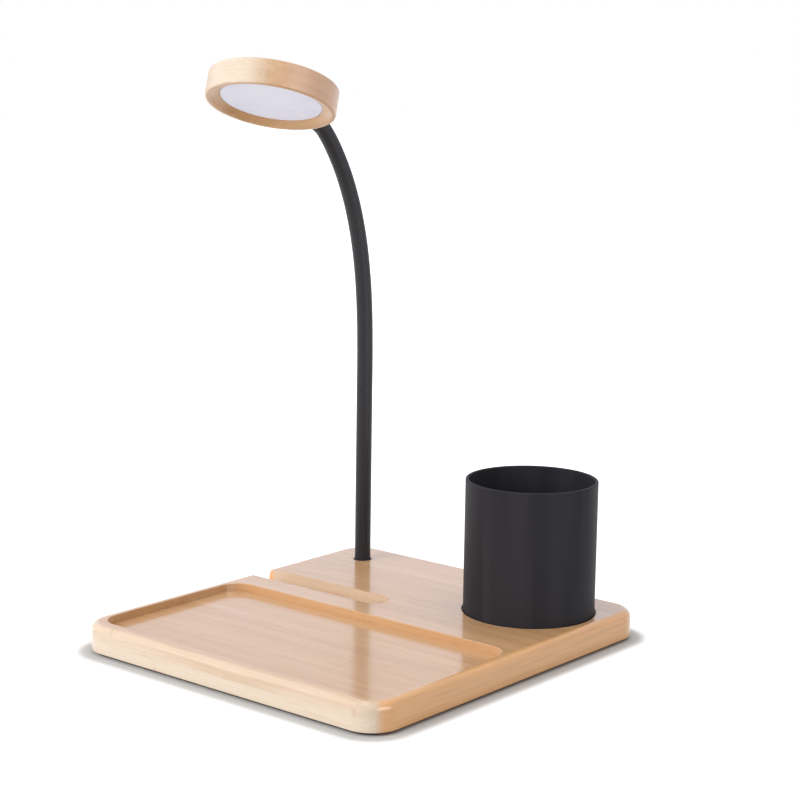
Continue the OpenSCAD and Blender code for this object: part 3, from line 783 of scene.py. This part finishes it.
def make_world():
    """An even studio: full white where the camera or a mirror image sees it, dimmer as a light."""
    world = bpy.data.worlds.new("studio")
    bpy.context.scene.world = world
    world.use_nodes = True
    tree = world.node_tree
    tree.nodes.clear()
    path = tree.nodes.new("ShaderNodeLightPath")
    seen = tree.nodes.new("ShaderNodeMath")
    seen.operation = "MAXIMUM"
    tree.links.new(path.outputs["Is Camera Ray"], seen.inputs[0])
    tree.links.new(path.outputs["Is Glossy Ray"], seen.inputs[1])
    level_of = tree.nodes.new("ShaderNodeMapRange")
    level_of.inputs["To Min"].default_value = AMBIENT
    level_of.inputs["To Max"].default_value = 1.0
    tree.links.new(seen.outputs[0], level_of.inputs["Value"])
    tint = tree.nodes.new("ShaderNodeMix")
    tint.data_type = "RGBA"
    tint.inputs[6].default_value = (1, 1, 1, 1)
    tint.inputs[7].default_value = COOL_REFLECTION
    tree.links.new(path.outputs["Is Glossy Ray"], tint.inputs[0])
    background = tree.nodes.new("ShaderNodeBackground")
    tree.links.new(tint.outputs[2], background.inputs["Color"])
    tree.links.new(level_of.outputs[0], background.inputs["Strength"])
    output = tree.nodes.new("ShaderNodeOutputWorld")
    tree.links.new(background.outputs[0], output.inputs["Surface"])


def soft_box(name, place, aim, size, watts, glints=False):
    """A square soft light. It lights the surfaces, or only puts a soft glint on them."""
    light = bpy.data.lights.new(name, "AREA")
    light.shape, light.size, light.energy = "SQUARE", size, watts
    lamp = bpy.data.objects.new(name, light)
    bpy.context.scene.collection.objects.link(lamp)
    lamp.location = place
    lamp.rotation_euler = (Vector(place) - Vector(aim)).to_track_quat("Z", "Y").to_euler()
    lamp.visible_glossy, lamp.visible_diffuse = glints, not glints


def make_camera():
    """The photograph's view: place, direction, roll and lens."""
    azimuth, pitch, roll = (math.radians(angle) for angle in (39.58, 10.09, 0.86))
    focal_px, picture_px, sensor = 1932.48, 800, 36
    back = Vector((math.sin(azimuth) * math.cos(pitch), -math.cos(azimuth) * math.cos(pitch), math.sin(pitch)))
    level_right = Vector((math.cos(azimuth), math.sin(azimuth), 0))
    level_up = back.cross(level_right)
    right = level_right * math.cos(roll) + level_up * math.sin(roll)
    up = level_up * math.cos(roll) - level_right * math.sin(roll)
    data = bpy.data.cameras.new("camera")
    data.sensor_width, data.lens = sensor, focal_px / picture_px * sensor
    data.clip_start, data.clip_end = 0.01, 50
    camera = bpy.data.objects.new("camera", data)
    bpy.context.scene.collection.objects.link(camera)
    turn = Matrix((right, up, back)).transposed().to_4x4()
    camera.matrix_world = Matrix.Translation(mm(601.43, -703.54, 287.67)) @ turn
    bpy.context.scene.camera = camera


make_stage()
make_world()
make_camera()
soft_box("key_light", (-0.6, -1.8, 1.0), (0, 0, 0.1), 1.4, 30)
soft_box("top_light", (0.1, 0.3, 1.9), (0, 0, 0.1), 1.4, 8)
soft_box("side_glint", (1.8, -0.25, 0.3), (0.05, 0.06, 0.05), 1.4, 30, glints=True)

base_bamboo = bamboo("bamboo_board", board_highlight_and_end_grain, colour(243, 181, 115))
head_bamboo = bamboo("bamboo_disc", disc_highlight_and_end_grain, colour(236, 192, 160), 0.5, 0.3, HEAD_PLACE)
black_plastic = grained("black_plastic", colour(34, 33, 35), colour(48, 47, 50), 0.55)
make_base(base_bamboo)
make_cup(cup_black())
make_head(head_bamboo)
make_diffuser(diffuser_white())
make_collar(black_plastic)
make_neck(sleeve_black())

copper = metal("copper_wire", colour(170, 96, 58), colour(206, 136, 92), 0.35)
steel = metal("bright_steel", colour(150, 151, 155), colour(205, 206, 210), 0.3)
brass = metal("plain_brass", colour(170, 132, 62), colour(214, 180, 104), 0.32)
white_plastic = grained("white_plastic", colour(226, 226, 224), colour(240, 240, 238), 0.5)
neck_wires = [node for node in frame["nodes"] if node.startswith("neck_wire_")]
dress_solids(
    (black_plastic, ["bottom_cover"]),
    (grained("mat_foam", colour(24, 24, 25), colour(40, 39, 41), 0.85, 900, 0.15), ["base_mat"]),
    (steel, ["cover_screws", "board_screws", "usb_socket", "neck_washer"]),
    (copper, ["charging_coil", "coil_leads", "touch_disc"]),
    (brass, ["touch_spring", "neck_ferrule", "neck_nut", "head_ferrule"]),
    (grained("ferrite", colour(58, 58, 61), colour(84, 84, 88), 0.6), ["ferrite_sheet"]),
    (circuit_board(), ["charger_board", "power_board"]),
    (grained("board_parts", colour(28, 28, 30), colour(52, 52, 56), 0.45), ["charger_parts", "power_parts"]),
    (grained("wire_black", colour(26, 26, 27), colour(44, 44, 46), 0.4), ["power_lead", "lamp_lead"]),
    (grained("wire_red", colour(110, 34, 32), colour(146, 52, 46), 0.4), [*neck_wires, "head_wire"]),
    (white_plastic, ["light_board", "reflector_ring"]),
    (grained("led_cover", colour(236, 222, 150), colour(246, 236, 178), 0.3), ["leds"]),
    (felt("seat_felt", colour(20, 20, 21), colour(50, 49, 51)), ["cup_felt"]),
)

bpy.context.scene.view_settings.view_transform = "Standard"
